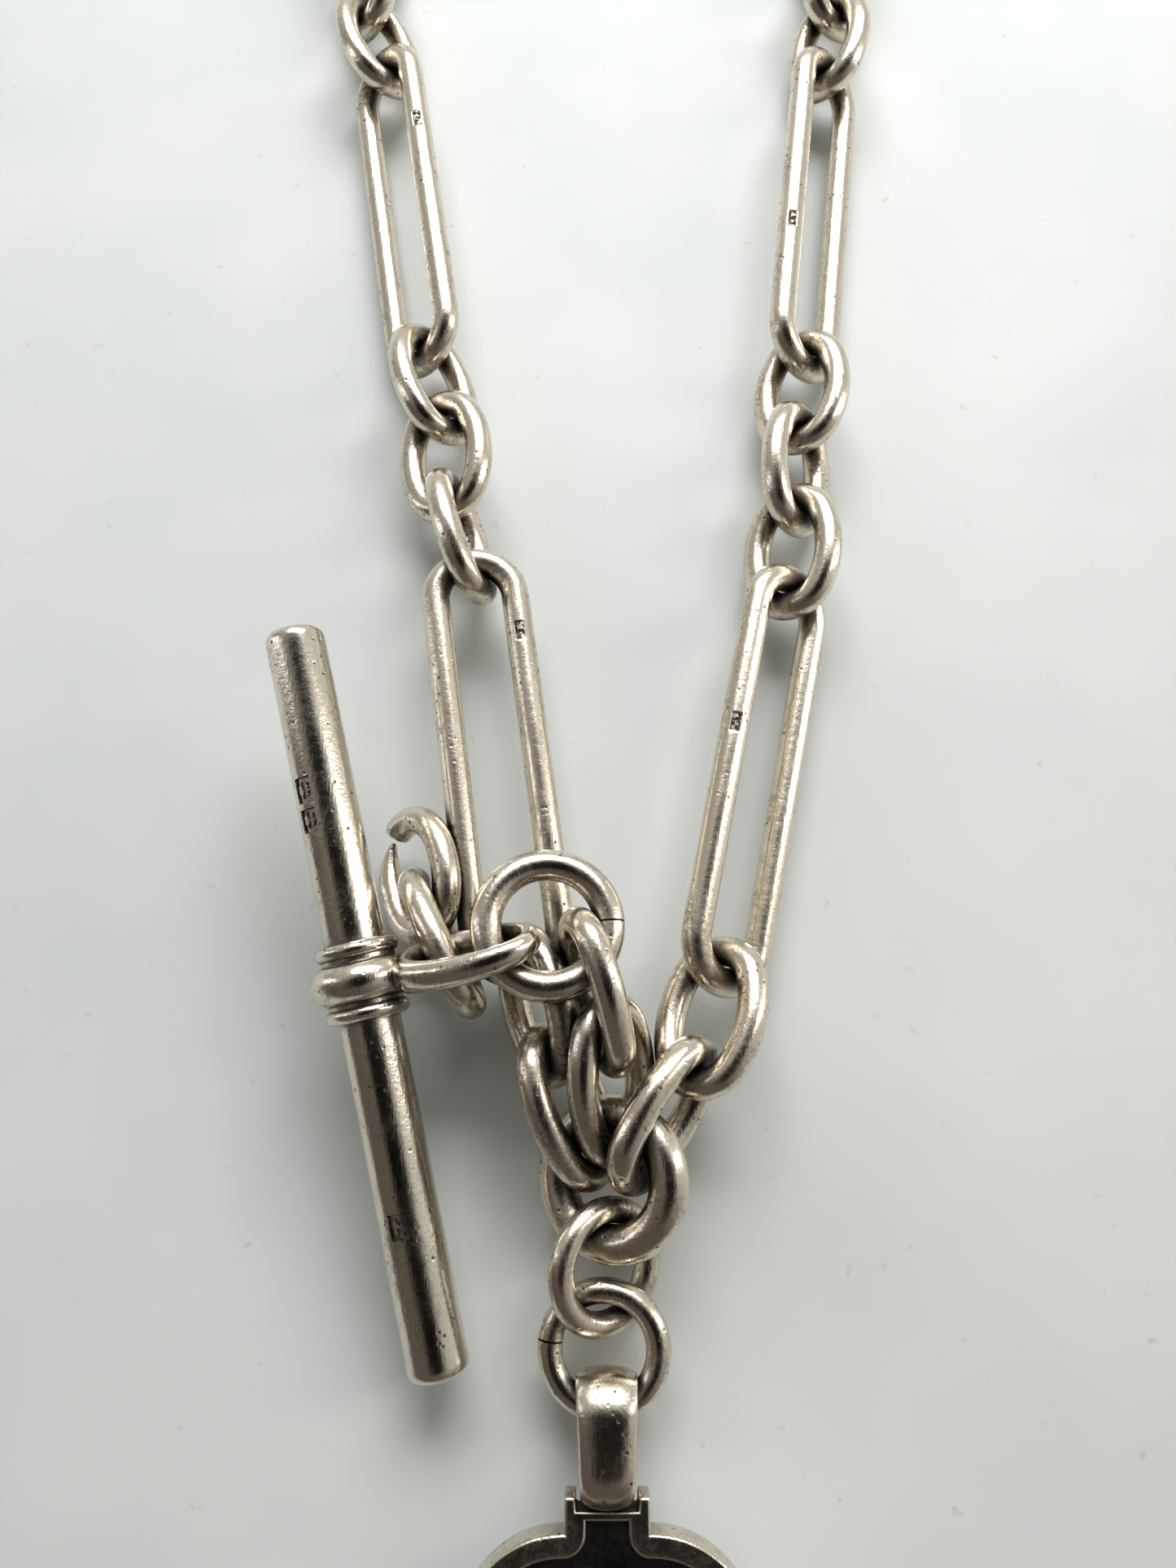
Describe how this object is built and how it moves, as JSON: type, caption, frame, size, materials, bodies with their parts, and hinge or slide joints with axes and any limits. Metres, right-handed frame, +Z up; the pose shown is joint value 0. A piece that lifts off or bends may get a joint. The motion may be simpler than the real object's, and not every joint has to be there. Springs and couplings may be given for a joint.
{
  "type": "pocket watch chain",
  "caption": "Double silver watch chain of oval and long links, joined at a ring that carries a fob and a short dropper with a T-bar; swivel clips at both ends.",
  "frame": {"origin": "centre of the bottom of the bounding box, on the table the chain lies on", "axes": "+Y along the chain from the fob to the swivel clips, +X to the right run, +Z up"},
  "size_m": [0.058, 0.2096, 0.011],
  "materials": {
    "link_silver": "worn polish",
    "bar_silver": "worn polish",
    "fob_silver": "worn polish",
    "fob_plate_silver": "polished, oxidised",
    "clip_silver": "worn polish",
    "spring_steel": "satin"
  },
  "bodies": {
    "left_small_link_1_body": {"left_small_link_1": "link_silver"},
    "right_small_link_1_body": {"right_small_link_1": "link_silver"},
    "dropper_link_1_body": {"dropper_link_1": "link_silver"},
    "left_small_link_2_body": {"left_small_link_2": "link_silver"},
    "left_long_link_3_body": {"left_long_link_3": "link_silver"},
    "left_small_link_4_body": {"left_small_link_4": "link_silver"},
    "left_small_link_5_body": {"left_small_link_5": "link_silver"},
    "left_small_link_6_body": {"left_small_link_6": "link_silver"},
    "left_long_link_7_body": {"left_long_link_7": "link_silver"},
    "left_small_link_8_body": {"left_small_link_8": "link_silver"},
    "left_small_link_9_body": {"left_small_link_9": "link_silver"},
    "left_small_link_10_body": {"left_small_link_10": "link_silver"},
    "left_long_link_11_body": {"left_long_link_11": "link_silver"},
    "left_small_link_12_body": {"left_small_link_12": "link_silver"},
    "left_small_link_13_body": {"left_small_link_13": "link_silver"},
    "left_small_link_14_body": {"left_small_link_14": "link_silver"},
    "right_small_link_2_body": {"right_small_link_2": "link_silver"},
    "right_long_link_3_body": {"right_long_link_3": "link_silver"},
    "right_small_link_4_body": {"right_small_link_4": "link_silver"},
    "right_small_link_5_body": {"right_small_link_5": "link_silver"},
    "right_small_link_6_body": {"right_small_link_6": "link_silver"},
    "right_long_link_7_body": {"right_long_link_7": "link_silver"},
    "right_small_link_8_body": {"right_small_link_8": "link_silver"},
    "right_small_link_9_body": {"right_small_link_9": "link_silver"},
    "right_small_link_10_body": {"right_small_link_10": "link_silver"},
    "right_long_link_11_body": {"right_long_link_11": "link_silver"},
    "right_small_link_12_body": {"right_small_link_12": "link_silver"},
    "right_small_link_13_body": {"right_small_link_13": "link_silver"},
    "right_small_link_14_body": {"right_small_link_14": "link_silver"},
    "dropper_link_2_body": {"dropper_link_2": "link_silver"},
    "eye_link_body": {"eye_link": "link_silver"},
    "centre_ring_body": {"centre_ring": "link_silver"},
    "bar_ring_body": {"bar_ring": "link_silver"},
    "fob_ring_upper_body": {"fob_ring_upper": "link_silver"},
    "fob_ring_lower_body": {"fob_ring_lower": "link_silver"},
    "open_link_body": {"open_link": "link_silver"},
    "bar_body": {"bar_rod": "bar_silver", "bar_collar": "bar_silver", "bar_eye": "bar_silver"},
    "fob_body": {"fob_bail": "fob_silver", "fob_plate": "fob_plate_silver", "fob_rim": "fob_silver"},
    "left_clip_ring_body": {"left_clip_swivel": "clip_silver"},
    "left_clip_hook_body": {"left_clip_hook": "clip_silver", "left_clip_gate_pin": "clip_silver", "left_clip_gate_spring": "spring_steel"},
    "left_clip_gate_body": {"left_clip_gate": "clip_silver"},
    "right_clip_ring_body": {"right_clip_swivel": "clip_silver"},
    "right_clip_hook_body": {"right_clip_hook": "clip_silver", "right_clip_gate_pin": "clip_silver", "right_clip_gate_spring": "spring_steel"},
    "right_clip_gate_body": {"right_clip_gate": "clip_silver"}
  },
  "joints": [
    {"name": "left_small_link_1_joint", "type": "hinge", "parent": "centre_ring_body", "child": "left_small_link_1_body", "pos_m": [-0.00007, -0.06216, 0.00165], "axis": [0.0331, -0.8825, -0.4692], "range_deg": [0, 0.5]},
    {"name": "right_small_link_1_joint", "type": "hinge", "parent": "centre_ring_body", "child": "right_small_link_1_body", "pos_m": [0.00255, -0.06264, 0.0055], "axis": [-0.7581, 0.4401, -0.4812], "range_deg": [-0.5, 21.5]},
    {"name": "dropper_link_1_joint", "type": "hinge", "parent": "centre_ring_body", "child": "dropper_link_1_body", "pos_m": [0.00184, -0.06293, 0.00309], "axis": [-0.3215, 0.8636, 0.3883], "range_deg": [0, 0.5]},
    {"name": "fob_ring_upper_joint", "type": "hinge", "parent": "centre_ring_body", "child": "fob_ring_upper_body", "pos_m": [0.0002, -0.07027, 0.00349], "axis": [0.61, -0.1718, 0.7735], "range_deg": [-26, 50]},
    {"name": "left_small_link_2_joint", "type": "hinge", "parent": "left_small_link_1_body", "child": "left_small_link_2_body", "pos_m": [-0.00241, -0.05763, 0.00309], "axis": [-0.9922, -0.0674, 0.1053], "range_deg": [0, 0.5]},
    {"name": "left_long_link_3_joint", "type": "hinge", "parent": "left_small_link_2_body", "child": "left_long_link_3_body", "pos_m": [-0.00408, -0.05181, 0.00528], "axis": [-0.3374, 0.2327, -0.9121], "range_deg": [0, 28]},
    {"name": "left_small_link_4_joint", "type": "hinge", "parent": "left_long_link_3_body", "child": "left_small_link_4_body", "pos_m": [-0.0089, -0.02565, 0.00426], "axis": [-0.9127, -0.2673, -0.309], "range_deg": [-36, 42.5]},
    {"name": "left_small_link_5_joint", "type": "hinge", "parent": "left_small_link_4_body", "child": "left_small_link_5_body", "pos_m": [-0.01062, -0.01937, 0.00412], "axis": [-0.4062, -0.0267, 0.9134], "range_deg": [-36, 42.5]},
    {"name": "left_small_link_6_joint", "type": "hinge", "parent": "left_small_link_5_body", "child": "left_small_link_6_body", "pos_m": [-0.01143, -0.01312, 0.00384], "axis": [-0.6619, -0.2167, -0.7176], "range_deg": [-36, 42.5]},
    {"name": "left_long_link_7_joint", "type": "hinge", "parent": "left_small_link_6_body", "child": "left_long_link_7_body", "pos_m": [-0.01304, -0.00637, 0.00343], "axis": [-0.6609, -0.1047, 0.7431], "range_deg": [-36, 42.5]},
    {"name": "left_small_link_8_joint", "type": "hinge", "parent": "left_long_link_7_body", "child": "left_small_link_8_body", "pos_m": [-0.01709, 0.01888, 0.00339], "axis": [-0.5918, -0.1697, -0.788], "range_deg": [-36, 42.5]},
    {"name": "left_small_link_9_joint", "type": "hinge", "parent": "left_small_link_8_body", "child": "left_small_link_9_body", "pos_m": [-0.01855, 0.02494, 0.00356], "axis": [-0.7184, -0.0376, 0.6947], "range_deg": [-36, 42.5]},
    {"name": "left_small_link_10_joint", "type": "hinge", "parent": "left_small_link_9_body", "child": "left_small_link_10_body", "pos_m": [-0.01896, 0.03141, 0.00356], "axis": [-0.7084, -0.1249, -0.6947], "range_deg": [-36, 42.5]},
    {"name": "left_long_link_11_joint", "type": "hinge", "parent": "left_small_link_10_body", "child": "left_long_link_11_body", "pos_m": [-0.02011, 0.03827, 0.00354], "axis": [-0.6655, -0.0699, 0.7431], "range_deg": [-36, 42.5]},
    {"name": "left_small_link_12_joint", "type": "hinge", "parent": "left_long_link_11_body", "child": "left_small_link_12_body", "pos_m": [-0.0228, 0.06372, 0.00353], "axis": [-0.6879, -0.0967, -0.7193], "range_deg": [-36, 42.5]},
    {"name": "left_small_link_13_joint", "type": "hinge", "parent": "left_small_link_12_body", "child": "left_small_link_13_body", "pos_m": [-0.02365, 0.07017, 0.00353], "axis": [-0.7067, -0.0247, 0.7071], "range_deg": [-42.5, 50]},
    {"name": "left_small_link_14_joint", "type": "hinge", "parent": "left_small_link_13_body", "child": "left_small_link_14_body", "pos_m": [-0.02386, 0.07669, 0.00353], "axis": [-0.7071, 0, -0.7071], "range_deg": [-42.5, 50]},
    {"name": "right_small_link_2_joint", "type": "hinge", "parent": "right_small_link_1_body", "child": "right_small_link_2_body", "pos_m": [0.00611, -0.05802, 0.0049], "axis": [0.5029, -0.2838, -0.8164], "range_deg": [-0.5, 21.5]},
    {"name": "right_long_link_3_joint", "type": "hinge", "parent": "right_small_link_2_body", "child": "right_long_link_3_body", "pos_m": [0.00788, -0.05143, 0.00391], "axis": [0.6051, -0.1146, 0.7879], "range_deg": [-36, 36]},
    {"name": "right_small_link_4_joint", "type": "hinge", "parent": "right_long_link_3_body", "child": "right_small_link_4_body", "pos_m": [0.01315, -0.02644, 0.00355], "axis": [0.5568, -0.0534, -0.8289], "range_deg": [-50, 36]},
    {"name": "right_small_link_5_joint", "type": "hinge", "parent": "right_small_link_4_body", "child": "right_small_link_5_body", "pos_m": [0.01363, -0.02007, 0.0037], "axis": [0.7405, -0.0674, 0.6687], "range_deg": [-50, 36]},
    {"name": "right_small_link_6_joint", "type": "hinge", "parent": "right_small_link_5_body", "child": "right_small_link_6_body", "pos_m": [0.01442, -0.0136, 0.00349], "axis": [0.4941, -0.0823, -0.8655], "range_deg": [-50, 36]},
    {"name": "right_long_link_7_joint", "type": "hinge", "parent": "right_small_link_6_body", "child": "right_long_link_7_body", "pos_m": [0.01511, -0.00682, 0.0035], "axis": [0.6895, -0.0847, 0.7193], "range_deg": [-50, 36]},
    {"name": "right_small_link_8_joint", "type": "hinge", "parent": "right_long_link_7_body", "child": "right_small_link_8_body", "pos_m": [0.01824, 0.01859, 0.00349], "axis": [0.6626, -0.0931, -0.7431], "range_deg": [-50, 36]},
    {"name": "right_small_link_9_joint", "type": "hinge", "parent": "right_small_link_8_body", "child": "right_small_link_9_body", "pos_m": [0.01912, 0.02504, 0.00344], "axis": [0.5864, -0.041, 0.809], "range_deg": [-50, 36]},
    {"name": "right_small_link_10_joint", "type": "hinge", "parent": "right_small_link_9_body", "child": "right_small_link_10_body", "pos_m": [0.01961, 0.03146, 0.0035], "axis": [0.6879, -0.0967, -0.7193], "range_deg": [-50, 36]},
    {"name": "right_long_link_11_joint", "type": "hinge", "parent": "right_small_link_10_body", "child": "right_long_link_11_body", "pos_m": [0.02055, 0.03835, 0.00349], "axis": [0.6655, -0.0699, 0.7431], "range_deg": [-50, 36]},
    {"name": "right_small_link_12_joint", "type": "hinge", "parent": "right_long_link_11_body", "child": "right_small_link_12_body", "pos_m": [0.02321, 0.06381, 0.0035], "axis": [0.693, -0.0485, -0.7193], "range_deg": [-50, 42.5]},
    {"name": "right_small_link_13_joint", "type": "hinge", "parent": "right_small_link_12_body", "child": "right_small_link_13_body", "pos_m": [0.02365, 0.07032, 0.00353], "axis": [0.7067, -0.0247, 0.7071], "range_deg": [-50, 42.5]},
    {"name": "right_small_link_14_joint", "type": "hinge", "parent": "right_small_link_13_body", "child": "right_small_link_14_body", "pos_m": [0.02386, 0.07684, 0.00353], "axis": [0.7071, 0, -0.7071], "range_deg": [-50, 42.5]},
    {"name": "dropper_link_2_joint", "type": "hinge", "parent": "dropper_link_1_body", "child": "dropper_link_2_body", "pos_m": [0.00017, -0.05682, 0.00656], "axis": [-0.619, 0.7751, -0.1268], "range_deg": [0, 1.5]},
    {"name": "bar_ring_joint", "type": "hinge", "parent": "dropper_link_2_body", "child": "bar_ring_body", "pos_m": [-0.00315, -0.05121, 0.00812], "axis": [-0.3227, 0.5907, 0.7395], "range_deg": [0, 16.5]},
    {"name": "bar_joint", "type": "hinge", "parent": "bar_ring_body", "child": "bar_body", "pos_m": [-0.00599, -0.05344, 0.00846], "axis": [-0.617, 0.7869, 0.0055], "range_deg": [-1.5, 14.5]},
    {"name": "eye_link_joint", "type": "hinge", "parent": "bar_body", "child": "eye_link_body", "pos_m": [-0.00934, -0.05237, 0.00585], "axis": [0.953, 0.2911, 0.0838], "range_deg": [0, 17]},
    {"name": "open_link_joint", "type": "hinge", "parent": "eye_link_body", "child": "open_link_body", "pos_m": [-0.01109, -0.04886, 0.00418], "axis": [-0.6753, -0.0727, 0.734], "range_deg": [-6, 27]},
    {"name": "fob_ring_lower_joint", "type": "hinge", "parent": "fob_ring_upper_body", "child": "fob_ring_lower_body", "pos_m": [0.00012, -0.07468, 0.00294], "axis": [-0.1026, -0.0557, 0.9932], "range_deg": [-20.5, 50]},
    {"name": "fob_joint", "type": "hinge", "parent": "fob_ring_lower_body", "child": "fob_body", "pos_m": [0.00025, -0.07788, 0.00319], "axis": [-1, 0, 0], "range_deg": [-26, 50]},
    {"name": "left_clip_joint", "type": "hinge", "parent": "left_small_link_14_body", "child": "left_clip_ring_body", "pos_m": [-0.02393, 0.08389, 0.00354], "axis": [-0.4988, -0.0349, 0.866], "range_deg": [-42.5, 50]},
    {"name": "right_clip_joint", "type": "hinge", "parent": "right_small_link_14_body", "child": "right_clip_ring_body", "pos_m": [0.02393, 0.08404, 0.00354], "axis": [0.4988, -0.0349, 0.866], "range_deg": [-50, 42.5]},
    {"name": "left_clip_swivel", "type": "hinge", "parent": "left_clip_ring_body", "child": "left_clip_hook_body", "pos_m": [-0.0242, 0.08778, 0.00354], "axis": [-0.0698, 0.9976, 0], "continuous": true},
    {"name": "left_clip_gate_hinge", "type": "hinge", "parent": "left_clip_hook_body", "child": "left_clip_gate_body", "pos_m": [-0.02258, 0.0943, 0.00475], "axis": [-0.4988, -0.0349, 0.866], "range_deg": [0, 24], "stiffness_Nm_per_rad": 0.004, "springref_deg": -4.01},
    {"name": "right_clip_swivel", "type": "hinge", "parent": "right_clip_ring_body", "child": "right_clip_hook_body", "pos_m": [0.0242, 0.08793, 0.00354], "axis": [0.0698, 0.9976, 0], "continuous": true},
    {"name": "right_clip_gate_hinge", "type": "hinge", "parent": "right_clip_hook_body", "child": "right_clip_gate_body", "pos_m": [0.02672, 0.09417, 0.00234], "axis": [0.4988, -0.0349, 0.866], "range_deg": [0, 24], "stiffness_Nm_per_rad": 0.004, "springref_deg": -4.01}
  ]
}
